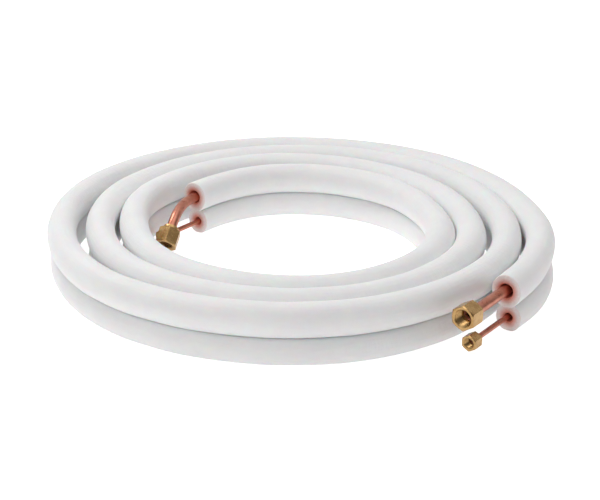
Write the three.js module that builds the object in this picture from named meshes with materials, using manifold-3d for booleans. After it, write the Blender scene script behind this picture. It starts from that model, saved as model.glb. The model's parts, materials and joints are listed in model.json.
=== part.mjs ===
// Mini split line set: two insulated copper pipes coiled flat, one pair lying on the other.
// Millimetres, +Z up. The coil lies on the floor at z = 0, with the origin under its middle.
import * as THREE from 'three';
import { mergeVertices } from 'three/addons/utils/BufferGeometryUtils.js';
import Module from 'manifold-3d';

// Copper pipes: the wide suction line and the narrow liquid line
const SUCTION_PIPE_OD = 12.7;
const SUCTION_PIPE_WALL = 0.8;
const SUCTION_FLARE_OD = 16.2;
const LIQUID_PIPE_OD = 6.35;
const LIQUID_PIPE_WALL = 0.76;
const LIQUID_FLARE_OD = 9.1;

// Foam sleeves. The turns press on each other, so the suction sleeve is narrower than it is high
const SUCTION_FOAM_HEIGHT = 38.1;
const SUCTION_FOAM_WIDTH = 36;
const SUCTION_FOAM_BORE = 16.6;
const LIQUID_FOAM_HEIGHT = 31.75;
const LIQUID_FOAM_WIDTH = 31.75;
const LIQUID_FOAM_BORE = 10.4;

// Clearances
const SEAT_GAP = 0.3;
const FLARE_GAP = 0.3;

// Coil, seen from above: it winds clockwise and outwards, from COIL_START to COIL_START - COIL_SWEEP
const COIL_START = 180;
const COIL_SWEEP = 1260;
const RING_STEP = 15;
const SIDE_STEP = 45;
const SIDES_PER_TURN = 360 / SIDE_STEP;
// Radius of the innermost turn at its eight sides, from the inner end on
const INNER_TURN_RADII = [165, 182, 180, 175, 196, 219, 208, 196];
// How far each later turn stands off the turn inside it, at the same sides
const TURN_GAPS = [
  14, 13, 4.5, 4, 1.5, 1.5, 5, 6,
  1.5, 1.5, 11, 8, 5, 1.5, 7, 11,
  10, 4, 1.5, 1.5, 7.5,
];

// Ends of the coil
const SUCTION_SLEEVE_SETBACK = 3;
const LIQUID_SLEEVE_SETBACK = 5;
const SUCTION_OUTER_RUN = 40;
const LIQUID_OUTER_RUN = 31;
const SUCTION_OUTER_STUB = 68;
const LIQUID_OUTER_STUB = 69;
const SUCTION_INNER_STUB = { along: 75, inward: 22.5, drop: 15, heading: 17, dip: 40, bow: 27 };
const LIQUID_INNER_STUB = 57;
const STUB_STEPS = 8;

// Flare nuts: across flats, hexagon length and collar, from the rear face forward
const SUCTION_NUT = {
  acrossFlats: 26, hexLength: 22, collarOD: 20.5, collarLength: 5,
  chamfer: 1.6, mouthBore: 17.9, mouthDepth: 16, mouthChamfer: 1,
};
const LIQUID_NUT = {
  acrossFlats: 17, hexLength: 15, collarOD: 12.5, collarLength: 3.5,
  chamfer: 1.1, mouthBore: 10.3, mouthDepth: 11, mouthChamfer: 0.7,
};
const SEAT_ANGLE = 45;

// Facets round each section
const FOAM_FACETS = 12;
const BORE_FACETS = 10;
const PIPE_BORE_FACETS = 6;
const NUT_FACETS = 24;

const WHITE_FOAM = { color: 0xdfe0e2, roughness: 0.75, metalness: 0 };
const COPPER = { color: 0xb5694c, roughness: 0.35, metalness: 1 };
const BRASS = { color: 0xb59a62, roughness: 0.35, metalness: 1 };

const rad = THREE.MathUtils.degToRad;
const wasm = await Module();
wasm.setup();

// Heights of the two lines: the liquid sleeve on the floor, the suction sleeve on it
const liquidHeight = LIQUID_FOAM_HEIGHT / 2;
const suctionHeight = LIQUID_FOAM_HEIGHT + SEAT_GAP + SUCTION_FOAM_HEIGHT / 2;

// A pipe lies against the inner side of its sleeve's bore
function pipeOffset(foamBore, pipeOD) {
  return ((foamBore - pipeOD) / 2) * Math.cos(Math.PI / BORE_FACETS) - SEAT_GAP;
}

// Radius of the coil at its sides, turn by turn. Both ends leave square to the radius
const sideRadii = [...INNER_TURN_RADII];
for (const gap of TURN_GAPS) {
  const insideTurn = sideRadii[sideRadii.length - SIDES_PER_TURN];
  sideRadii.push(insideTurn + SUCTION_FOAM_WIDTH + gap);
}

function sideRadius(side) {
  const last = sideRadii.length - 1;
  if (side < 0) return sideRadii[-side];
  if (side > last) return sideRadii[2 * last - side];
  return sideRadii[side];
}

// Radius at a sweep angle, and how fast it grows for each radian
function coilRadius(sweep) {
  const side = Math.min(Math.floor(sweep / SIDE_STEP), sideRadii.length - 2);
  const t = sweep / SIDE_STEP - side;
  const [a, b, c, d] = [-1, 0, 1, 2].map((k) => sideRadius(side + k));
  const slope = (c - a) / 2;
  const nextSlope = (d - b) / 2;
  const bend = 3 * (c - b) - 2 * slope - nextSlope;
  const twist = 2 * (b - c) + slope + nextSlope;
  return {
    radius: b + t * (slope + t * (bend + t * twist)),
    growth: (slope + t * (2 * bend + t * 3 * twist)) / rad(SIDE_STEP),
  };
}

// A ring is a place on a line with the direction of the line there
function ringAt(centre, direction) {
  return { centre, direction: direction.clone().normalize() };
}

function coilRing(sweep, height, offset) {
  const angle = rad(COIL_START - sweep);
  const { radius, growth } = coilRadius(sweep);
  const out = new THREE.Vector3(Math.cos(angle), Math.sin(angle), 0);
  const onward = new THREE.Vector3(out.y, -out.x, 0);
  const direction = onward.multiplyScalar(radius).addScaledVector(out, growth);
  const ring = ringAt(out.clone().multiplyScalar(radius), direction);
  ring.centre.addScaledVector(outward(ring.direction), -offset);
  ring.centre.z = height;
  return ring;
}

function outward(direction) {
  return new THREE.Vector3(-direction.y, direction.x, 0).normalize();
}

// Rings along a line from a sweep angle to the coil's end and then straight on
function coilRings(fromSweep, height, offset, run) {
  const rings = [coilRing(fromSweep, height, offset)];
  const firstStep = (Math.floor(fromSweep / RING_STEP) + 1) * RING_STEP;
  for (let sweep = firstStep; sweep <= COIL_SWEEP; sweep += RING_STEP) {
    rings.push(coilRing(sweep, height, offset));
  }
  const last = rings[rings.length - 1];
  rings.push(ringAt(last.centre.clone().addScaledVector(last.direction, run), last.direction));
  return rings;
}

// Points of a section ring: facets across its width and height lie on the true surface
function sectionPoints(ring, width, height, facets) {
  const side = outward(ring.direction);
  const up = ring.direction.clone().cross(side);
  const grow = 1 / Math.cos(Math.PI / facets);
  const points = [];
  for (let k = 0; k < facets; k += 1) {
    const angle = ((k + 0.5) / facets) * 2 * Math.PI;
    points.push(ring.centre.clone()
      .addScaledVector(side, (width / 2) * grow * Math.cos(angle))
      .addScaledVector(up, (height / 2) * grow * Math.sin(angle)));
  }
  return points;
}

// Points of a round ring whose corners lie on the true circle
function roundPoints(ring, diameter, facets) {
  const inside = diameter * Math.cos(Math.PI / facets);
  return sectionPoints(ring, inside, inside, facets);
}

// A hollow body between two stacks of loops, closed by a flat face at each end
function hollowSweep(outerLoops, innerLoops) {
  const corners = [];
  const faces = [];
  function addStack(loops, facingOut) {
    const start = corners.length;
    const count = loops[0].length;
    loops.forEach((loop) => corners.push(...loop));
    for (let i = 0; i + 1 < loops.length; i += 1) {
      for (let k = 0; k < count; k += 1) {
        const a = start + i * count + k;
        const b = start + i * count + ((k + 1) % count);
        const quad = [[a, a + count, b], [b, a + count, b + count]];
        quad.forEach(([p, q, r]) => faces.push(...(facingOut ? [p, r, q] : [p, q, r])));
      }
    }
    return start;
  }
  const outerStart = addStack(outerLoops, true);
  const innerStart = addStack(innerLoops, false);
  function addCap(index, facingOut) {
    const outer = outerLoops[index];
    const inner = innerLoops[index];
    const centre = new THREE.Vector3();
    outer.forEach((point) => centre.addScaledVector(point, 1 / outer.length));
    const axisX = outer[0].clone().sub(centre).normalize();
    const spare = outer[Math.round(outer.length / 4)].clone().sub(centre);
    const axisY = spare.addScaledVector(axisX, -spare.dot(axisX)).normalize();
    const flat = (point) => {
      const arm = point.clone().sub(centre);
      return new THREE.Vector2(arm.dot(axisX), arm.dot(axisY));
    };
    THREE.ShapeUtils.triangulateShape(outer.map(flat), [inner.map(flat)]).forEach((triangle) => {
      const [p, q, r] = triangle.map((k) => (k < outer.length
        ? outerStart + index * outer.length + k
        : innerStart + index * inner.length + k - outer.length));
      faces.push(...(facingOut ? [p, q, r] : [p, r, q]));
    });
  }
  addCap(0, false);
  addCap(outerLoops.length - 1, true);
  const geometry = new THREE.BufferGeometry().setFromPoints(corners);
  geometry.setIndex(faces);
  return geometry;
}

function sleeveGeometry(rings, width, height, bore) {
  return hollowSweep(
    rings.map((ring) => sectionPoints(ring, width, height, FOAM_FACETS)),
    rings.map((ring) => roundPoints(ring, bore, BORE_FACETS)),
  );
}

// A pipe with a flare at each end: the wall turns outwards at the seat angle
function pipeGeometry(rings, outsideDiameter, wall, flareDiameter) {
  const flareLength = (flareDiameter - outsideDiameter) / 2 / Math.tan(rad(SEAT_ANGLE));
  const first = rings[0];
  const last = rings[rings.length - 1];
  const all = [
    { ...ringAt(first.centre.clone().addScaledVector(first.direction, -flareLength), first.direction),
      flared: true },
    ...rings,
    { ...ringAt(last.centre.clone().addScaledVector(last.direction, flareLength), last.direction),
      flared: true },
  ];
  const diameterAt = (ring) => (ring.flared ? flareDiameter : outsideDiameter);
  return hollowSweep(
    all.map((ring) => roundPoints(ring, diameterAt(ring), BORE_FACETS)),
    all.map((ring) => roundPoints(ring, diameterAt(ring) - 2 * wall, PIPE_BORE_FACETS)),
  );
}

// Distance from a nut's rear face to where its pipe starts to flare
function flareDepth(nut, pipeOD, flareOD) {
  const flareLength = (flareOD - pipeOD) / 2 / Math.tan(rad(SEAT_ANGLE));
  return nut.collarLength + nut.hexLength - nut.mouthDepth - flareLength;
}

// Rings of a straight bare stub beyond a ring, out to where the flare starts
function straightStub(ring, length, way) {
  const end = ring.centre.clone().addScaledVector(ring.direction, way * length);
  return ringAt(end, ring.direction);
}

// The suction line's inner stub bends down towards the floor and in towards the coil's middle
function bentStub(ring, stub, depthInNut) {
  const ahead = ring.direction.clone().negate();
  const inwards = outward(ring.direction).negate();
  const end = ring.centre.clone()
    .addScaledVector(ahead, stub.along)
    .addScaledVector(inwards, stub.inward);
  end.z -= stub.drop;
  const heading = ahead.clone().multiplyScalar(Math.cos(rad(stub.heading)))
    .addScaledVector(inwards, Math.sin(rad(stub.heading)))
    .multiplyScalar(Math.cos(rad(stub.dip)));
  heading.z = -Math.sin(rad(stub.dip));
  const curve = new THREE.CubicBezierCurve3(
    ring.centre,
    ring.centre.clone().addScaledVector(ahead, stub.bow),
    end.clone().addScaledVector(heading, -stub.bow),
    end,
  );
  const rings = [];
  for (let k = STUB_STEPS; k > 0; k -= 1) {
    const t = k / STUB_STEPS;
    rings.push(ringAt(curve.getPoint(t), curve.getTangent(t).negate()));
  }
  const rear = rings[0];
  return { rings: [straightStub(rear, depthInNut, -1), ...rings], rear };
}

function solidOf(geometry) {
  const bare = geometry.index ? geometry.toNonIndexed() : geometry.clone();
  bare.deleteAttribute('normal');
  bare.deleteAttribute('uv');
  const merged = mergeVertices(bare, 1e-4);
  return new wasm.Manifold(new wasm.Mesh({
    numProp: 3,
    vertProperties: merged.attributes.position.array,
    triVerts: Uint32Array.from(merged.index.array),
  }));
}

function geometryOf(solid) {
  const mesh = solid.getMesh();
  const geometry = new THREE.BufferGeometry();
  geometry.setAttribute('position', new THREE.Float32BufferAttribute(mesh.vertProperties, 3));
  geometry.setIndex(new THREE.BufferAttribute(mesh.triVerts, 1));
  return geometry;
}

// A body turned about Z, from [radius, height] pairs that start and end on the axis
function turned(profile) {
  const points = profile.map(([radius, height]) => new THREE.Vector2(radius, height));
  const geometry = new THREE.LatheGeometry(points, NUT_FACETS);
  geometry.rotateX(Math.PI / 2);
  return solidOf(geometry);
}

// A flare nut along +Z, its rear face at z = 0 and its threaded mouth in front
function nutGeometry(nut, pipeOD, flareOD) {
  const length = nut.collarLength + nut.hexLength;
  const corner = nut.acrossFlats / Math.sqrt(3);
  const facetShare = 1 / Math.cos(Math.PI / NUT_FACETS);
  const hexagon = new THREE.CylinderGeometry(corner, corner, nut.hexLength, 6);
  hexagon.rotateX(Math.PI / 2);
  hexagon.translate(0, 0, nut.collarLength + nut.hexLength / 2);
  const face = nut.acrossFlats / 2 - nut.chamfer * 0.2;
  const chamfered = turned([
    [0, nut.collarLength - 1],
    [face, nut.collarLength - 1],
    [face, nut.collarLength],
    [face + 2 * nut.chamfer, nut.collarLength + nut.chamfer],
    [face + 2 * nut.chamfer, length - nut.chamfer],
    [face, length],
    [face, length + 1],
    [0, length + 1],
  ]);
  const collar = turned([
    [0, 0],
    [nut.collarOD / 2 - nut.chamfer, 0],
    [nut.collarOD / 2, nut.chamfer],
    [nut.collarOD / 2, nut.collarLength + 1],
    [0, nut.collarLength + 1],
  ]);
  const neck = (pipeOD / 2 + FLARE_GAP) * facetShare;
  const mouth = (nut.mouthBore / 2) * facetShare;
  const seatFront = length - nut.mouthDepth;
  const seatRear = flareDepth(nut, pipeOD, flareOD) - FLARE_GAP / Math.sin(rad(SEAT_ANGLE));
  const seatRadius = neck + (seatFront - seatRear) * Math.tan(rad(SEAT_ANGLE));
  const bore = turned([
    [0, -1],
    [neck, -1],
    [neck, seatRear],
    [seatRadius, seatFront],
    [mouth, seatFront],
    [mouth, length - nut.mouthChamfer],
    [mouth + nut.mouthChamfer, length],
    [mouth + nut.mouthChamfer, length + 1],
    [0, length + 1],
  ]);
  return geometryOf(solidOf(hexagon).intersect(chamfered).add(collar).subtract(bore));
}

function named(name, geometry, finish) {
  const mesh = new THREE.Mesh(geometry, new THREE.MeshStandardMaterial(finish));
  mesh.name = name;
  return mesh;
}

// A nut on its pipe: the rear face at a ring, the mouth the way the stub points
function seatedNut(name, nut, pipeOD, flareOD, ring, way) {
  const mesh = named(name, nutGeometry(nut, pipeOD, flareOD), BRASS);
  const facing = ring.direction.clone().multiplyScalar(way);
  mesh.quaternion.setFromUnitVectors(new THREE.Vector3(0, 0, 1), facing);
  mesh.position.copy(ring.centre);
  return mesh;
}

function suctionLine() {
  const offset = pipeOffset(SUCTION_FOAM_BORE, SUCTION_PIPE_OD);
  const sleeve = coilRings(SUCTION_SLEEVE_SETBACK, suctionHeight, 0, SUCTION_OUTER_RUN);
  const depth = flareDepth(SUCTION_NUT, SUCTION_PIPE_OD, SUCTION_FLARE_OD);
  const coiled = coilRings(SUCTION_SLEEVE_SETBACK, suctionHeight, offset, SUCTION_OUTER_RUN);
  const inner = bentStub(coiled[0], SUCTION_INNER_STUB, depth);
  const outerRear = straightStub(coiled[coiled.length - 1], SUCTION_OUTER_STUB, 1);
  const pipe = [...inner.rings, ...coiled.slice(0, -1), straightStub(outerRear, depth, 1)];
  return [
    named('suction_insulation', sleeveGeometry(
      sleeve, SUCTION_FOAM_WIDTH, SUCTION_FOAM_HEIGHT, SUCTION_FOAM_BORE,
    ), WHITE_FOAM),
    named('suction_pipe', pipeGeometry(
      pipe, SUCTION_PIPE_OD, SUCTION_PIPE_WALL, SUCTION_FLARE_OD,
    ), COPPER),
    seatedNut('suction_flare_nut_outer', SUCTION_NUT, SUCTION_PIPE_OD, SUCTION_FLARE_OD, outerRear, 1),
    seatedNut('suction_flare_nut_inner', SUCTION_NUT, SUCTION_PIPE_OD, SUCTION_FLARE_OD, inner.rear, -1),
  ];
}

function liquidLine() {
  const offset = pipeOffset(LIQUID_FOAM_BORE, LIQUID_PIPE_OD);
  const sleeve = coilRings(LIQUID_SLEEVE_SETBACK, liquidHeight, 0, LIQUID_OUTER_RUN);
  const depth = flareDepth(LIQUID_NUT, LIQUID_PIPE_OD, LIQUID_FLARE_OD);
  const coiled = coilRings(LIQUID_SLEEVE_SETBACK, liquidHeight, offset, LIQUID_OUTER_RUN);
  const innerRear = straightStub(coiled[0], LIQUID_INNER_STUB, -1);
  const outerRear = straightStub(coiled[coiled.length - 1], LIQUID_OUTER_STUB, 1);
  const pipe = [
    straightStub(innerRear, depth, -1),
    ...coiled.slice(0, -1),
    straightStub(outerRear, depth, 1),
  ];
  return [
    named('liquid_insulation', sleeveGeometry(
      sleeve, LIQUID_FOAM_WIDTH, LIQUID_FOAM_HEIGHT, LIQUID_FOAM_BORE,
    ), WHITE_FOAM),
    named('liquid_pipe', pipeGeometry(
      pipe, LIQUID_PIPE_OD, LIQUID_PIPE_WALL, LIQUID_FLARE_OD,
    ), COPPER),
    seatedNut('liquid_flare_nut_outer', LIQUID_NUT, LIQUID_PIPE_OD, LIQUID_FLARE_OD, outerRear, 1),
    seatedNut('liquid_flare_nut_inner', LIQUID_NUT, LIQUID_PIPE_OD, LIQUID_FLARE_OD, innerRear, -1),
  ];
}

const lineSet = new THREE.Group();
lineSet.add(...suctionLine(), ...liquidLine());
const middle = new THREE.Box3().setFromObject(lineSet).getCenter(new THREE.Vector3());
lineSet.position.set(-middle.x, -middle.y, 0);

export default lineSet;
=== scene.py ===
import json
import math

import bmesh
import bpy
import numpy as np
from mathutils import Matrix, Vector, noise


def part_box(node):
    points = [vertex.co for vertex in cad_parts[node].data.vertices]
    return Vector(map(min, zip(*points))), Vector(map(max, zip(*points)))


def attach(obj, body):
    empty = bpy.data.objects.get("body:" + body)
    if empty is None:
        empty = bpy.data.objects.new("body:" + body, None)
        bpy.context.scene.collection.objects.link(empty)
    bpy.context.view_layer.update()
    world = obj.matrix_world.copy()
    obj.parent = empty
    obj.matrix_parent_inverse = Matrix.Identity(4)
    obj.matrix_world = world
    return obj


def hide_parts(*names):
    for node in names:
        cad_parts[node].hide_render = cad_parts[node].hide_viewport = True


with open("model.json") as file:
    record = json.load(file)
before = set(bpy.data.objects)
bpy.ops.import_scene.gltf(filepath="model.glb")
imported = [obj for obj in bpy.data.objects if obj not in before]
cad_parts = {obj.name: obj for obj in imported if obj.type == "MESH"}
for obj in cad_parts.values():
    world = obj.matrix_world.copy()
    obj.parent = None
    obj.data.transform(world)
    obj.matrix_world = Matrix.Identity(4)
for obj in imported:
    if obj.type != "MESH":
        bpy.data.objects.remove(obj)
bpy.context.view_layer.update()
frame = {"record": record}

# Mini split line set: two foam-sleeved copper pipes in a flat coil, with brass flare nuts.
# Lengths are in metres, angles in degrees.
MM = 0.001

# Copper pipes and foam sleeves
SUCTION = {
    "pipe_od": 12.7 * MM,
    "wall": 0.8 * MM,
    "flare_od": 16.2 * MM,
    "foam_width": 36 * MM,
    "foam_height": 38.1 * MM,
    "foam_bore": 16.6 * MM,
    "setback": 3,
    "outer_run": 40 * MM,
    "outer_stub": 68 * MM,
    "tuck": 5.5 * MM,
}
LIQUID = {
    "pipe_od": 6.35 * MM,
    "wall": 0.76 * MM,
    "flare_od": 9.1 * MM,
    "foam_width": 31.75 * MM,
    "foam_height": 31.75 * MM,
    "foam_bore": 10.4 * MM,
    "setback": 5,
    "outer_run": 31 * MM,
    "outer_stub": 69 * MM,
    "tuck": 1.5 * MM,
}
SUCTION_INNER_STUB = {
    "along": 75 * MM, "inward": 22.5 * MM, "drop": 15 * MM,
    "heading": 17, "dip": 40, "bow": 27 * MM,
}
LIQUID_INNER_STUB = 57 * MM
SEAT_GAP = 0.3 * MM
FLARE_GAP = 0.3 * MM
BORE_FACETS = 10

# The coil winds clockwise and outwards seen from above
COIL_START = 180
COIL_SWEEP = 1260
SIDE_STEP = 45
SIDES_PER_TURN = 360 // SIDE_STEP
INNER_TURN_RADII = [165, 182, 180, 175, 196, 219, 208, 196]
TURN_GAPS = [
    14, 13, 4.5, 4, 1.5, 1.5, 5, 6,
    1.5, 1.5, 11, 8, 5, 1.5, 7, 11,
    10, 4, 1.5, 1.5, 7.5,
]

# Flare nuts, from the rear face forward
SUCTION_NUT = {
    "across_flats": 26 * MM, "hex_length": 22 * MM, "chamfer": 1.6 * MM,
    "collar_od": 20.5 * MM, "collar_length": 5 * MM,
    "mouth_bore": 17.9 * MM, "mouth_depth": 16 * MM, "mouth_chamfer": 1 * MM, "pitch": 1.59 * MM,
}
LIQUID_NUT = {
    "across_flats": 17 * MM, "hex_length": 15 * MM, "chamfer": 1.1 * MM,
    "collar_od": 12.5 * MM, "collar_length": 3.5 * MM,
    "mouth_bore": 10.3 * MM, "mouth_depth": 11 * MM, "mouth_chamfer": 0.7 * MM, "pitch": 1.27 * MM,
}

# The outermost turn is tucked in over this length before its end, most nearer to the end
TUCK_LENGTH = 230 * MM
TUCK_LEAN = 0.85

# Rounding, and the closeness at which points are one
WELD = 0.001 * MM
FOAM_RIM = 1.8 * MM
PIPE_RIM = 0.15 * MM
NUT_RIDGE = 0.35 * MM
NUT_EDGE = 0.3 * MM
RIM_SEGMENTS = 3

# Shares of a nut's chamfer and pitch
FACE_SHARE = 0.2
COLLAR_SHARE = 0.3
ROOT_SHARE = 0.3
CREST_SHARE = 0.22
RIDGE_BASE_SHARE = 0.43
RIDGE_TOP_SHARE = 0.07
RIDGE_TAPER_SHARE = 0.5
RIDGE_END = 0.02
RIDGE_SUNK = 0.05 * MM
NUT_SLANT = 30
HEXAGON_TURN = 60

# How finely the pieces are made
COIL_STEP = 0.5
TUBE_SIDES = 48
FOAM_STEP = 6.5 * MM
PIPE_STEP = 9 * MM
NUT_STEPS = 120
THREAD_STEPS_PER_TURN = 60
STUB_STEPS = 40
RUN_STEPS = 10
FLARE_CUTS = (0.0, 0.25, 0.5, 0.75)
TUBE_SMOOTH = 40
NUT_SMOOTH = 30


# Route of the lines

def side_radii():
    radii = [radius * MM for radius in INNER_TURN_RADII]
    for gap in TURN_GAPS:
        radii.append(radii[-SIDES_PER_TURN] + SUCTION["foam_width"] + gap * MM)
    return np.array([radii[1], *radii, radii[-2]])


def coil_radius(sweep):
    """Radius at each sweep angle, and how fast it grows for each radian."""
    radii = side_radii()
    side = np.minimum(sweep // SIDE_STEP, len(radii) - 4).astype(int)
    t = sweep / SIDE_STEP - side
    a, b, c, d = (radii[side + k] for k in range(4))
    slope = (c - a) / 2
    next_slope = (d - b) / 2
    bend = 3 * (c - b) - 2 * slope - next_slope
    twist = 2 * (b - c) + slope + next_slope
    radius = b + t * (slope + t * (bend + t * twist))
    growth = (slope + t * (2 * bend + t * 3 * twist)) / math.radians(SIDE_STEP)
    return radius, growth


def pipe_offset(line):
    """A pipe lies against the inner side of its sleeve's bore."""
    slack = (line["foam_bore"] - line["pipe_od"]) / 2
    return slack * math.cos(math.pi / BORE_FACETS) - SEAT_GAP


def coil_centre():
    """The coil's own centre, from where the outer suction nut is."""
    low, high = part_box("suction_flare_nut_outer")
    end_radius = side_radii()[-2] - pipe_offset(SUCTION)
    return Vector((
        (low[0] + high[0]) / 2 - end_radius,
        high[1] + SUCTION["outer_run"] + SUCTION["outer_stub"],
        0,
    ))


CENTRE = np.array(coil_centre())


def height_of(line):
    low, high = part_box("suction_insulation" if line is SUCTION else "liquid_insulation")
    return (low[2] + high[2]) / 2


class Route:
    """Stations along a line: their places, and the ways along, outwards and up there."""

    def __init__(self, places, along, sweep):
        self.places = np.array(places)
        self.sweep = np.array(sweep)
        self.along = np.array(along) / np.linalg.norm(along, axis=1)[:, None]
        flat = np.stack([-self.along[:, 1], self.along[:, 0], 0 * self.along[:, 0]], axis=1)
        self.side = flat / np.linalg.norm(flat, axis=1)[:, None]
        self.up = np.cross(self.along, self.side)
        steps = np.linalg.norm(np.diff(self.places, axis=0), axis=1)
        self.arc = np.concatenate([[0], np.cumsum(steps)])

    def at(self, arc):
        """Places, side and up directions at lengths along the route."""
        def between(values):
            return np.stack([np.interp(arc, self.arc, values[:, k]) for k in range(3)], axis=1)
        side = between(self.side)
        up = between(self.up)
        side /= np.linalg.norm(side, axis=1)[:, None]
        up /= np.linalg.norm(up, axis=1)[:, None]
        return between(self.places), side, up

    def extended(self, length, backwards=False, count=1):
        """The route with a straight run before its start or beyond its end."""
        step = np.linspace(0, length, count + 1)[1:, None]
        same = np.ones((count, 1))
        if backwards:
            places = np.concatenate([self.places[:1] - step[::-1] * self.along[:1], self.places])
            along = np.concatenate([same * self.along[:1], self.along])
            sweep = np.concatenate([same[:, 0] * self.sweep[0], self.sweep])
        else:
            places = np.concatenate([self.places, self.places[-1:] + step * self.along[-1:]])
            along = np.concatenate([self.along, same * self.along[-1:]])
            sweep = np.concatenate([self.sweep, same[:, 0] * self.sweep[-1]])
        return Route(places, along, sweep)

    def tucked(self, depth):
        """The outermost turn held in a little closer before its end, as the photo shows it."""
        before_end = (self.arc[-1] - self.arc) / TUCK_LENGTH
        inward = depth * np.sin(math.pi * np.minimum(before_end, 1) ** TUCK_LEAN) ** 2
        places = self.places - self.side * inward[:, None]
        along = np.gradient(places, self.arc, axis=0)
        kept = (before_end >= 1)[:, None]
        return Route(places, np.where(kept, self.along, along), self.sweep)


def coil_route(line, offset):
    """The coiled stretch and the straight outer run of a line."""
    first = math.floor(line["setback"] / COIL_STEP) + 1
    stations = np.arange(first * COIL_STEP, COIL_SWEEP + COIL_STEP / 2, COIL_STEP)
    sweep = np.concatenate([[line["setback"]], stations])
    radius, growth = coil_radius(sweep)
    angle = np.radians(COIL_START - sweep)
    out = np.stack([np.cos(angle), np.sin(angle), 0 * angle], axis=1)
    onward = np.stack([out[:, 1], -out[:, 0], 0 * angle], axis=1)
    along = onward * radius[:, None] + out * growth[:, None]
    route = Route(out * radius[:, None] + CENTRE, along, sweep)
    places = route.places - route.side * offset
    places[:, 2] = height_of(line)
    coiled = Route(places, route.along, sweep)
    return coiled.extended(line["outer_run"], count=RUN_STEPS).tucked(line["tuck"])


def bezier(points, t):
    """Places and directions on a cubic curve."""
    a, b, c, d = (np.array(p) for p in points)
    t = t[:, None]
    places = (1 - t) ** 3 * a + 3 * (1 - t) ** 2 * t * b + 3 * (1 - t) * t * t * c + t ** 3 * d
    along = (1 - t) ** 2 * (b - a) + 2 * (1 - t) * t * (c - b) + t * t * (d - c)
    return places, along


def bent_stub(route, stub):
    """The suction line's inner stub, from its nut back up to the sleeve, before the coil."""
    start = route.places[0]
    ahead = -route.along[0]
    inwards = -route.side[0]
    end = start + ahead * stub["along"] + inwards * stub["inward"]
    end[2] -= stub["drop"]
    turn = math.radians(stub["heading"])
    dip = math.radians(stub["dip"])
    heading = (ahead * math.cos(turn) + inwards * math.sin(turn)) * math.cos(dip)
    heading[2] = -math.sin(dip)
    bow = stub["bow"]
    curve = [start, start + ahead * bow, end - heading * bow, end]
    places, along = bezier(curve, np.linspace(1, 0, STUB_STEPS + 1)[:-1])
    return Route(
        np.concatenate([places, route.places]),
        np.concatenate([-along, route.along]),
        np.concatenate([np.full(len(places), route.sweep[0]), route.sweep]),
    )


# Tubes: straight stock that is bent onto a route

def tube_stock(length, steps, half_width, half_height, bore, rim):
    """A straight hollow tube along Z. Its wall, cut ends and bore have materials 0, 1 and 2."""
    bm = bmesh.new()
    bm.verts.layers.float_vector.new("stock")
    bm.verts.layers.float.new("outward")
    rims = {0: [], 1: []}
    middle = Matrix.Translation((0, 0, length / 2))
    for wide, high, slot in ((half_width, half_height, 0), (bore, bore, 2)):
        squeeze = Matrix.Diagonal((wide, high, 1, 1))
        wall = set(bmesh.ops.create_cone(
            bm, cap_ends=False, segments=TUBE_SIDES, radius1=1, radius2=1, depth=length,
            matrix=middle @ squeeze,
        )["verts"])
        lengthwise = []
        for edge in [edge for edge in bm.edges if wall.issuperset(edge.verts)]:
            first_end, second_end = (round(vert.co.z / length) for vert in edge.verts)
            if first_end == second_end:
                rims[first_end].append(edge)
            else:
                lengthwise.append(edge)
        for face in bm.faces:
            if wall.issuperset(face.verts):
                face.material_index = slot
        bmesh.ops.subdivide_edges(bm, edges=lengthwise, cuts=steps - 1)
    for end, edges in rims.items():
        around = {vert for edge in edges for vert in edge.verts}
        inner = [vert for vert in around if vert.co.xy.length < bore + WELD]
        apart = Matrix.Translation((0, 0, (end * 2 - 1) * bore))
        bmesh.ops.transform(bm, matrix=apart, verts=inner)
        for face in bmesh.ops.bridge_loops(bm, edges=edges)["faces"]:
            face.material_index = 1
        bmesh.ops.transform(bm, matrix=apart.inverted(), verts=inner)
    bmesh.ops.recalc_face_normals(bm, faces=bm.faces)
    bm.normal_update()
    bmesh.ops.bevel(
        bm, geom=rims[0] + rims[1], offset=rim, offset_type="OFFSET", affect="EDGES",
        segments=RIM_SEGMENTS, profile=0.5, material=-1,
    )
    bmesh.ops.recalc_face_normals(bm, faces=bm.faces)
    return bm


def bend_tube(name, bm, route, form, materials):
    """Bends straight stock onto a route. form gives each point's places across and upwards."""
    stock = bm.verts.layers.float_vector["stock"]
    outward = bm.verts.layers.float["outward"]
    local = np.array([vert.co for vert in bm.verts])
    spread = np.hypot(local[:, 0], local[:, 1])
    across, upward = form(local, spread)
    places, side, up = route.at(local[:, 2])
    placed = places + side * across[:, None] + up * upward[:, None]
    inner, outer = spread.min(), spread.max()
    for k, vert in enumerate(bm.verts):
        vert.co = placed[k]
        vert[stock] = (across[k], upward[k], local[k, 2])
        vert[outward] = (spread[k] - inner) / (outer - inner)
    return finished(name, bm, materials, TUBE_SMOOTH)


def finished(name, bm, materials, smooth_angle):
    mesh = bpy.data.meshes.new(name)
    bm.to_mesh(mesh)
    bm.free()
    mesh.shade_smooth()
    mesh.set_sharp_from_angle(angle=math.radians(smooth_angle))
    for material in materials:
        mesh.materials.append(material)
    piece = bpy.data.objects.new(name, mesh)
    bpy.context.scene.collection.objects.link(piece)
    return piece


# Foam sleeves

FOAM_WAVE = 0.35 * MM
FOAM_WAVE_LENGTH = 45 * MM
FOAM_SPREAD = 1.6 * MM
FOAM_TOUCH_GAP = 0.15 * MM
FOAM_SAG = 0.15 * MM
FOAM_EDGE = 0.25 * MM
FOAM_SKIN = 3 * MM
TOUCHING_ROOM = 2 * MM
FREE_ROOM = 6 * MM
LOOSE = 4 * MM
NO_TURN_BESIDE = 1


def pressed(value, spread, limit):
    """A half section's points, first spread, then flattened softly at a limit."""
    wide = np.abs(value) * spread
    flat = -FOAM_EDGE * np.logaddexp(-wide / FOAM_EDGE, -limit / FOAM_EDGE)
    return np.sign(value) * np.maximum(flat, 0)


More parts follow.
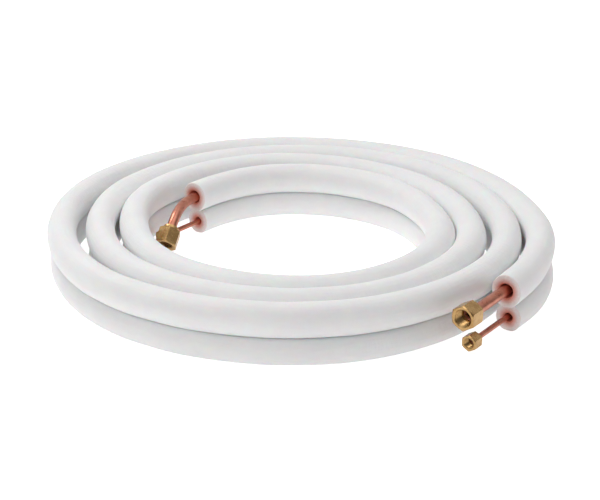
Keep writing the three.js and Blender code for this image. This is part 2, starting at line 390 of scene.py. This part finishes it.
def room_beside(line, sweep):
    """Free room beside each side of a sleeve: inwards and outwards."""
    radius = coil_radius(sweep)[0]
    turn_inside = coil_radius(np.maximum(sweep - 360, 0))[0]
    inside = np.where(sweep >= 360, radius - turn_inside, NO_TURN_BESIDE)
    last = COIL_SWEEP - 360
    turn_outside = coil_radius(np.minimum(sweep, last) + 360)[0]
    outside = np.where(sweep <= last, turn_outside - radius, NO_TURN_BESIDE)
    return inside - line["foam_width"], outside - line["foam_width"]


def sleeve(name, node, line):
    route = coil_route(line, 0)
    length = route.arc[-1]
    steps = round(length / FOAM_STEP)
    bore = line["foam_bore"] / 2
    bm = tube_stock(
        length, steps, line["foam_width"] / 2, line["foam_height"] / 2, bore, FOAM_RIM,
    )

    def form(local, spread):
        """The foam flattens where the turns and the floor press on it, and is a little uneven."""
        sweep = np.interp(local[:, 2], route.arc, route.sweep)
        inwards, outwards = room_beside(line, sweep)
        room = np.where(local[:, 0] > 0, outwards, inwards)
        skin = np.clip((spread - bore) / FOAM_SKIN, 0, 1)
        wave = np.zeros(len(local))
        for k in np.nonzero(skin)[0]:
            spot = Vector((*local[k, :2] / spread[k], local[k, 2] / FOAM_WAVE_LENGTH))
            wave[k] = FOAM_WAVE * skin[k] * (noise.noise(spot) - 0.5)
        uneven = 1 + wave / spread
        across, upward = local[:, 0] * uneven, local[:, 1] * uneven
        narrow = np.clip((FREE_ROOM - room) / (FREE_ROOM - TOUCHING_ROOM), 0, 1)
        wider = 1 + skin * narrow * FOAM_SPREAD / (line["foam_width"] / 2)
        reach = line["foam_width"] / 2 + np.minimum(room / 2, LOOSE) - FOAM_TOUCH_GAP
        under = local[:, 1] < 0 if line is SUCTION else np.ones(len(local), bool)
        taller = 1 + skin * under * FOAM_SPREAD / (line["foam_height"] / 2)
        height = line["foam_height"] / 2 + np.where(under, FOAM_SAG, LOOSE)
        outer = skin > 0
        across[outer] = pressed(across, wider, reach)[outer]
        upward[outer] = pressed(upward, taller, height)[outer]
        return across, upward

    piece = bend_tube(name, bm, route, form, foam)
    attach(piece, "coil")
    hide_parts(node)
    return piece


# Copper pipes

def pipe(name, node, line, nut):
    route = coil_route(line, pipe_offset(line))
    flare = (line["flare_od"] - line["pipe_od"]) / 2
    depth = nut["collar_length"] + nut["hex_length"] - nut["mouth_depth"]
    if line is SUCTION:
        route = bent_stub(route, SUCTION_INNER_STUB)
    else:
        route = route.extended(LIQUID_INNER_STUB, backwards=True)
    route = route.extended(depth, backwards=True).extended(line["outer_stub"] + depth)
    length = route.arc[-1]
    radius = line["pipe_od"] / 2
    bm = tube_stock(
        length, round(length / PIPE_STEP), radius, radius, radius - line["wall"], PIPE_RIM,
    )
    for share in FLARE_CUTS:
        for end in (flare * (1 - share), length - flare * (1 - share)):
            bmesh.ops.bisect_plane(
                bm, geom=bm.verts[:] + bm.edges[:] + bm.faces[:], dist=WELD,
                plane_co=(0, 0, end), plane_no=(0, 0, 1),
            )

    def form(local, spread):
        """Both ends open out into 45 degree flares."""
        to_end = np.minimum(local[:, 2], length - local[:, 2])
        wider = 1 + np.maximum(flare - to_end, 0) / spread
        return local[:, 0] * wider, local[:, 1] * wider

    piece = bend_tube(name, bm, route, form, [copper] * 3)
    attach(piece, "coil")
    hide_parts(node)
    return piece


# Flare nuts

def nut_profile(nut, line):
    """The nut's section as [radius, height, on the hexagon] from the rear edge of the neck."""
    length = nut["collar_length"] + nut["hex_length"]
    flare = (line["flare_od"] - line["pipe_od"]) / 2
    neck = line["pipe_od"] / 2 + FLARE_GAP
    root = nut["mouth_bore"] / 2 + ROOT_SHARE * nut["pitch"]
    seat_front = length - nut["mouth_depth"]
    seat_rear = seat_front - flare - FLARE_GAP * math.sqrt(2)
    seat_radius = neck + seat_front - seat_rear
    collar = nut["collar_od"] / 2
    cham = nut["chamfer"]
    edge = NUT_EDGE
    face = nut["across_flats"] / 2 - FACE_SHARE * cham
    flat = nut["across_flats"] / 2
    return [
        (neck + edge, 0, False),
        (collar - cham, 0, False),
        (collar - COLLAR_SHARE * cham, COLLAR_SHARE * cham, False),
        (collar, cham, False),
        (collar, nut["collar_length"] - edge, False),
        (collar + edge, nut["collar_length"], False),
        (face, nut["collar_length"], False),
        (flat, nut["collar_length"], True),
        (flat, length, True),
        (face, length, False),
        (root + nut["mouth_chamfer"], length, False),
        (root, length - nut["mouth_chamfer"], False),
        (root, seat_front, False),
        (seat_radius, seat_front, False),
        (neck, seat_rear, False),
        (neck, edge, False),
    ]


def hexagon_reach(angle):
    """Distance from the axis to a hexagon of unit half width, with a corner at 90 degrees."""
    half = HEXAGON_TURN / 2
    turn = (math.degrees(angle) - 90 + half) % HEXAGON_TURN - half
    return 1 / math.cos(math.radians(half - abs(turn)))


def nut_body(bm, nut, line):
    profile = nut_profile(nut, line)
    length = nut["collar_length"] + nut["hex_length"]
    face = nut["across_flats"] / 2 - FACE_SHARE * nut["chamfer"]
    mark = bm.verts.layers.int.new("on_hexagon")
    ring = [bm.verts.new((radius, 0, height)) for radius, height, _ in profile]
    edges = [bm.edges.new((a, b)) for a, b in zip(ring, ring[1:] + ring[:1])]
    hexed = {k for k, point in enumerate(profile) if point[2]}
    for k, vert in enumerate(ring):
        vert[mark] = 1 if k in hexed else 0
    bmesh.ops.spin(
        bm, geom=ring + edges, cent=(0, 0, 0), axis=(0, 0, 1), dvec=(0, 0, 0),
        angle=2 * math.pi, steps=NUT_STEPS, use_merge=True,
    )
    bmesh.ops.remove_doubles(bm, verts=bm.verts, dist=WELD)
    slant = math.tan(math.radians(NUT_SLANT))
    corners = set()
    for vert in bm.verts:
        if not vert[mark]:
            continue
        angle = math.atan2(vert.co.y, vert.co.x)
        reach = nut["across_flats"] / 2 * hexagon_reach(angle)
        cut = (reach - face) * slant
        top = vert.co.z > length / 2
        height = length - cut if top else nut["collar_length"] + cut
        vert.co = (reach * math.cos(angle), reach * math.sin(angle), height)
        if abs(reach - nut["across_flats"] / math.sqrt(3)) < WELD:
            corners.add(vert)
    ridges = [edge for edge in bm.edges if set(edge.verts) <= corners]
    bmesh.ops.bevel(
        bm, geom=ridges, offset=NUT_RIDGE, offset_type="OFFSET", affect="EDGES",
        segments=RIM_SEGMENTS, profile=0.5, material=-1,
    )
    bmesh.ops.recalc_face_normals(bm, faces=bm.faces)


def nut_thread(bm, nut):
    """A helical ridge inside the mouth, sunk a little into its wall and tapered at both ends."""
    length = nut["collar_length"] + nut["hex_length"]
    pitch = nut["pitch"]
    root = nut["mouth_bore"] / 2 + ROOT_SHARE * pitch + RIDGE_SUNK
    crest = nut["mouth_bore"] / 2 - CREST_SHARE * pitch
    base = RIDGE_BASE_SHARE * pitch
    top = RIDGE_TOP_SHARE * pitch
    low = length - nut["mouth_depth"] + pitch
    high = length - nut["mouth_chamfer"] - 0.2 * pitch
    turns = (high - low) / pitch
    steps = round(turns * THREAD_STEPS_PER_TURN)
    shape = [(root, -base), (crest, -top), (crest, top), (root, base)]
    ring = [bm.verts.new((radius, 0, low + height)) for radius, height in shape]
    edges = [bm.edges.new((a, b)) for a, b in zip(ring, ring[1:] + ring[:1])]
    body = set(bm.verts) - set(ring)
    spun = bmesh.ops.spin(
        bm, geom=ring + edges, cent=(0, 0, 0), axis=(0, 0, 1),
        dvec=(0, 0, (high - low) / steps), angle=2 * math.pi * turns, steps=steps, use_merge=False,
    )
    last = [item for item in spun["geom_last"] if isinstance(item, bmesh.types.BMVert)]
    for vert in set(bm.verts) - body:
        radius = math.hypot(vert.co.x, vert.co.y)
        angle = math.atan2(vert.co.y, vert.co.x)
        along = (vert.co.z - low) / (high - low) * turns
        to_end = max(0, min(along, turns - along))
        rise = min(1, to_end / RIDGE_TAPER_SHARE)
        radius = root + (radius - root) * max(rise, RIDGE_END)
        vert.co.x, vert.co.y = radius * math.cos(angle), radius * math.sin(angle)
    ends = {bm.faces.new(ring), bm.faces.new(last)}
    fresh = {face for vert in set(bm.verts) - body for face in vert.link_faces}
    bmesh.ops.recalc_face_normals(bm, faces=list(fresh | ends))


def flare_nut(name, node, joint, nut, line, material):
    bm = bmesh.new()
    nut_body(bm, nut, line)
    nut_thread(bm, nut)
    facts = next(item for item in frame["record"]["behaviour"]["joints"] if item["name"] == joint)
    axis = Vector(facts["axis"]).normalized()
    turn = Vector((0, 0, 1)).rotation_difference(axis).to_matrix().to_4x4()
    bm.transform(Matrix.Translation(facts["pos_m"]) @ turn)
    piece = finished(name, bm, [material], NUT_SMOOTH)
    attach(piece, facts["child"])
    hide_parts(node)
    return piece


# Materials: pairs are the darker and the lighter tone

FOAM_TONES = ((0.81, 0.808, 0.812), (0.845, 0.843, 0.845))
# Painted reflection of the copper: the red of the cut foam next to the bore
CUT_COPPER_REFLECTION = (0.72, 0.27, 0.2)
CUT_OUTSIDE = (0.86, 0.8, 0.79)
CUT_SPECKLE = (0.93, 0.86, 0.85, 1)
# Painted reflection of the copper: the red of a sleeve's bore wall
BORE_COPPER_REFLECTION_TONES = ((0.75, 0.25, 0.17), (0.85, 0.36, 0.26))
COPPER_TONES = ((0.46, 0.16, 0.1), (0.64, 0.28, 0.2))
COPPER_ROUGHNESS = (0.26, 0.34)
BRASS_TONES = ((0.4, 0.23, 0.09), (0.6, 0.39, 0.17))
BRASS_ROUGHNESS = (0.24, 0.32)
FOAM_LINES = ((420, 420, 45), (60, 60, 380))
WHITE = (1, 1, 1, 1)


def new_material(name):
    material = bpy.data.materials.new(name)
    material.use_nodes = True
    nodes = material.node_tree.nodes
    shader = nodes["Principled BSDF"]
    return material, nodes, material.node_tree.links, shader


def grain_group():
    """Even soft variation of tone, from Object coordinates or an attribute."""
    group = bpy.data.node_groups.new("Soft variation", "ShaderNodeTree")
    face = group.interface
    face.new_socket("Vector", in_out="INPUT", socket_type="NodeSocketVector")
    scale = face.new_socket("Scale", in_out="INPUT", socket_type="NodeSocketFloat")
    scale.default_value = 100
    face.new_socket("Mask", in_out="OUTPUT", socket_type="NodeSocketFloat")
    nodes, links = group.nodes, group.links
    inside = nodes.new("NodeGroupInput")
    outside = nodes.new("NodeGroupOutput")
    cloud = nodes.new("ShaderNodeTexNoise")
    cloud.inputs["Detail"].default_value = 4
    cloud.inputs["Roughness"].default_value = 0.6
    spread = nodes.new("ShaderNodeMapRange")
    spread.inputs["From Min"].default_value = 0.3
    spread.inputs["From Max"].default_value = 0.7
    links.new(inside.outputs["Vector"], cloud.inputs["Vector"])
    links.new(inside.outputs["Scale"], cloud.inputs["Scale"])
    links.new(cloud.outputs["Fac"], spread.inputs["Value"])
    links.new(spread.outputs["Result"], outside.inputs["Mask"])
    return group


def place_group(nodes, group, scale):
    node = nodes.new("ShaderNodeGroup")
    node.node_tree = group
    node.inputs["Scale"].default_value = scale
    return node


def stock_attribute(nodes):
    node = nodes.new("ShaderNodeAttribute")
    node.attribute_name = "stock"
    return node


def mix_colours(nodes, links, mask, first, second):
    node = nodes.new("ShaderNodeMix")
    node.data_type = "RGBA"
    node.inputs["A"].default_value = (*first, 1)
    node.inputs["B"].default_value = (*second, 1)
    links.new(mask, node.inputs["Factor"])
    return node.outputs["Result"]


def bump_on(nodes, links, shader, height, strength, distance):
    node = nodes.new("ShaderNodeBump")
    node.inputs["Strength"].default_value = strength
    node.inputs["Distance"].default_value = distance
    links.new(height, node.inputs["Height"])
    links.new(node.outputs["Normal"], shader.inputs["Normal"])


def foam_skin(variation):
    """White embossed foam skin: fine lines along and across a soft uneven surface."""
    material, nodes, links, shader = new_material("White foam skin")
    shader.inputs["Roughness"].default_value = 0.55
    shader.inputs["Subsurface Weight"].default_value = 0.45
    shader.inputs["Subsurface Scale"].default_value = 0.01
    shader.inputs["Sheen Weight"].default_value = 0.15
    stock = stock_attribute(nodes)
    tone = place_group(nodes, variation, 30)
    links.new(stock.outputs["Vector"], tone.inputs["Vector"])
    colour = mix_colours(nodes, links, tone.outputs["Mask"], *FOAM_TONES)
    links.new(colour, shader.inputs["Base Color"])
    relief = nodes.new("ShaderNodeMath")
    relief.operation = "ADD"
    for slot, scale in enumerate(FOAM_LINES):
        squeeze = nodes.new("ShaderNodeMapping")
        squeeze.inputs["Scale"].default_value = scale
        lines = nodes.new("ShaderNodeTexNoise")
        lines.inputs["Scale"].default_value = 1
        lines.inputs["Detail"].default_value = 3
        links.new(stock.outputs["Vector"], squeeze.inputs["Vector"])
        links.new(squeeze.outputs["Vector"], lines.inputs["Vector"])
        links.new(lines.outputs["Fac"], relief.inputs[slot])
    bump_on(nodes, links, shader, relief.outputs["Value"], 0.45, 0.0011)
    return material


def foam_cut(variation):
    """The cut foam at a sleeve's end: fine open cells, with a painted reflection of the copper
    beside it that makes the face darker and red towards the bore.
    """
    material, nodes, links, shader = new_material("Cut foam")
    shader.inputs["Roughness"].default_value = 0.8
    shader.inputs["Subsurface Weight"].default_value = 0.2
    shader.inputs["Subsurface Scale"].default_value = 0.004
    stock = stock_attribute(nodes)
    share = nodes.new("ShaderNodeAttribute")
    share.attribute_name = "outward"
    # Painted reflection of the copper: red at the bore, fading outwards to the foam's own pale
    # tone
    copper_reflection_fade = nodes.new("ShaderNodeMapRange")
    copper_reflection_fade.interpolation_type = "SMOOTHSTEP"
    copper_reflection_fade.inputs["From Max"].default_value = 0.8
    links.new(share.outputs["Fac"], copper_reflection_fade.inputs["Value"])
    red = mix_colours(nodes, links, copper_reflection_fade.outputs["Result"], CUT_COPPER_REFLECTION, CUT_OUTSIDE)
    tone = place_group(nodes, variation, 500)
    links.new(stock.outputs["Vector"], tone.inputs["Vector"])
    speckle = nodes.new("ShaderNodeMix")
    speckle.data_type = "RGBA"
    speckle.blend_type = "MULTIPLY"
    speckle.inputs["B"].default_value = CUT_SPECKLE
    links.new(red, speckle.inputs["A"])
    links.new(tone.outputs["Mask"], speckle.inputs["Factor"])
    links.new(speckle.outputs["Result"], shader.inputs["Base Color"])
    cells = nodes.new("ShaderNodeTexVoronoi")
    cells.inputs["Scale"].default_value = 1100
    links.new(stock.outputs["Vector"], cells.inputs["Vector"])
    bump_on(nodes, links, shader, cells.outputs["Distance"], 0.5, 0.0006)
    return material


def foam_bore(variation):
    """The dark inner wall of a sleeve, round the copper, painted red as a reflection of the
    copper.
    """
    material, nodes, links, shader = new_material("Foam bore")
    shader.inputs["Roughness"].default_value = 0.9
    tone = place_group(nodes, variation, 200)
    links.new(stock_attribute(nodes).outputs["Vector"], tone.inputs["Vector"])
    # Painted reflection of the copper on the bore wall, varied at random
    colour = mix_colours(nodes, links, tone.outputs["Mask"], *BORE_COPPER_REFLECTION_TONES)
    links.new(colour, shader.inputs["Base Color"])
    return material


def metal(name, variation, tones, coordinates, roughness):
    material, nodes, links, shader = new_material(name)
    shader.inputs["Metallic"].default_value = 1
    tone = place_group(nodes, variation, 90)
    if coordinates == "stock":
        source = stock_attribute(nodes).outputs["Vector"]
    else:
        source = nodes.new("ShaderNodeTexCoord").outputs["Object"]
    links.new(source, tone.inputs["Vector"])
    colour = mix_colours(nodes, links, tone.outputs["Mask"], *tones)
    links.new(colour, shader.inputs["Base Color"])
    gloss = nodes.new("ShaderNodeMapRange")
    gloss.inputs["To Min"].default_value = roughness[0]
    gloss.inputs["To Max"].default_value = roughness[1]
    links.new(tone.outputs["Mask"], gloss.inputs["Value"])
    links.new(gloss.outputs["Result"], shader.inputs["Roughness"])
    scuffs = nodes.new("ShaderNodeTexNoise")
    scuffs.inputs["Scale"].default_value = 900
    scuffs.inputs["Detail"].default_value = 4
    links.new(source, scuffs.inputs["Vector"])
    bump_on(nodes, links, shader, scuffs.outputs["Fac"], 0.12, 0.0003)
    return material


# Stage

CAMERA_TARGET = Vector((-26.9, 32.8, 0)) * MM
CAMERA_DISTANCE = 1934 * MM
CAMERA_AZIMUTH = 35
CAMERA_ELEVATION = 21.15
CAMERA_ROLL = 0.16
CAMERA_LENS = 90.4

# Studio: the floor's half size, the world's tones, and each lamp's place, size and power
FLOOR_REACH = 12
WALL_TONE = (0.2, 0.2, 0.2)
BACK_TONE = (1.15, 1.15, 1.15)
WORLD_STRENGTH = 0.6
LAMPS = {
    "overhead": ((0.2, 0.3, 1.8), 1.6, 6),
    "key": ((-0.2, -1.7, 1.3), 0.9, 7),
    "left": ((-1.3, 0.1, 1.5), 0.6, 9),
}


def floor():
    bm = bmesh.new()
    bmesh.ops.create_grid(bm, x_segments=2, y_segments=2, size=FLOOR_REACH)
    material, nodes, links, shader = new_material("Pale floor")
    shader.inputs["Base Color"].default_value = (0.9, 0.9, 0.9, 1)
    shader.inputs["Roughness"].default_value = 0.8
    shader.inputs["Emission Color"].default_value = WHITE
    seen = nodes.new("ShaderNodeLightPath")
    glow = nodes.new("ShaderNodeMapRange")
    glow.inputs["To Min"].default_value = 0.36
    glow.inputs["To Max"].default_value = 0.7
    links.new(seen.outputs["Is Camera Ray"], glow.inputs["Value"])
    links.new(glow.outputs["Result"], shader.inputs["Emission Strength"])
    ground = finished("floor", bm, [material], NUT_SMOOTH)


def studio_light():
    """A bright soft ceiling and back wall, dimmer walls elsewhere, and three soft lamps."""
    bpy.context.scene.view_settings.view_transform = "Standard"
    world = bpy.data.worlds.new("Pale studio")
    bpy.context.scene.world = world
    world.use_nodes = True
    nodes, links = world.node_tree.nodes, world.node_tree.links
    sky = nodes["Background"]
    place = nodes.new("ShaderNodeTexCoord")
    height = nodes.new("ShaderNodeSeparateXYZ")
    ceiling = nodes.new("ShaderNodeMapRange")
    ceiling.interpolation_type = "SMOOTHSTEP"
    ceiling.inputs["From Min"].default_value = 0.25
    ceiling.inputs["From Max"].default_value = 0.8
    links.new(place.outputs["Generated"], height.inputs["Vector"])
    links.new(height.outputs["Z"], ceiling.inputs["Value"])
    away = nodes.new("ShaderNodeVectorMath")
    away.operation = "DOT_PRODUCT"
    away.inputs[1].default_value = (
        -math.sin(math.radians(CAMERA_AZIMUTH)), math.cos(math.radians(CAMERA_AZIMUTH)), 0,
    )
    back = nodes.new("ShaderNodeMapRange")
    back.interpolation_type = "SMOOTHSTEP"
    back.inputs["From Min"].default_value = 0.1
    back.inputs["From Max"].default_value = 0.7
    bright = nodes.new("ShaderNodeMath")
    bright.operation = "MAXIMUM"
    links.new(place.outputs["Generated"], away.inputs[0])
    links.new(away.outputs["Value"], back.inputs["Value"])
    links.new(ceiling.outputs["Result"], bright.inputs[0])
    links.new(back.outputs["Result"], bright.inputs[1])
    colour = mix_colours(nodes, links, bright.outputs["Value"], WALL_TONE, BACK_TONE)
    links.new(colour, sky.inputs["Color"])
    sky.inputs["Strength"].default_value = WORLD_STRENGTH
    for name, (spot, size, power) in LAMPS.items():
        light = bpy.data.lights.new(name, "AREA")
        light.size = size
        light.energy = power
        lamp = bpy.data.objects.new(name, light)
        lamp.location = spot
        lamp.rotation_euler = (-Vector(spot)).to_track_quat("-Z", "Y").to_euler()
        bpy.context.scene.collection.objects.link(lamp)


def camera():
    lens = bpy.data.cameras.new("photo camera")
    lens.lens = CAMERA_LENS
    lens.sensor_width = 36
    lens.clip_end = 20
    eye = bpy.data.objects.new("photo camera", lens)
    azimuth = math.radians(CAMERA_AZIMUTH)
    elevation = math.radians(CAMERA_ELEVATION)
    look = Vector((
        -math.sin(azimuth) * math.cos(elevation),
        math.cos(azimuth) * math.cos(elevation),
        -math.sin(elevation),
    ))
    eye.location = CAMERA_TARGET - look * CAMERA_DISTANCE
    turn = look.to_track_quat("-Z", "Y").to_matrix()
    eye.rotation_euler = (turn @ Matrix.Rotation(math.radians(CAMERA_ROLL), 3, "Z")).to_euler()
    bpy.context.scene.collection.objects.link(eye)
    bpy.context.scene.camera = eye


camera()
floor()
studio_light()

variation = grain_group()
foam = [foam_skin(variation), foam_cut(variation), foam_bore(variation)]
copper = metal("Copper", variation, COPPER_TONES, "stock", COPPER_ROUGHNESS)
brass = metal("Brass", variation, BRASS_TONES, "object", BRASS_ROUGHNESS)

sleeve("suction_sleeve", "suction_insulation", SUCTION)
sleeve("liquid_sleeve", "liquid_insulation", LIQUID)
pipe("suction_copper", "suction_pipe", SUCTION, SUCTION_NUT)
pipe("liquid_copper", "liquid_pipe", LIQUID, LIQUID_NUT)
for side in ("outer", "inner"):
    flare_nut(
        f"suction_nut_{side}", f"suction_flare_nut_{side}", f"suction_{side}_nut_spin",
        SUCTION_NUT, SUCTION, brass,
    )
    flare_nut(
        f"liquid_nut_{side}", f"liquid_flare_nut_{side}", f"liquid_{side}_nut_spin",
        LIQUID_NUT, LIQUID, brass,
    )
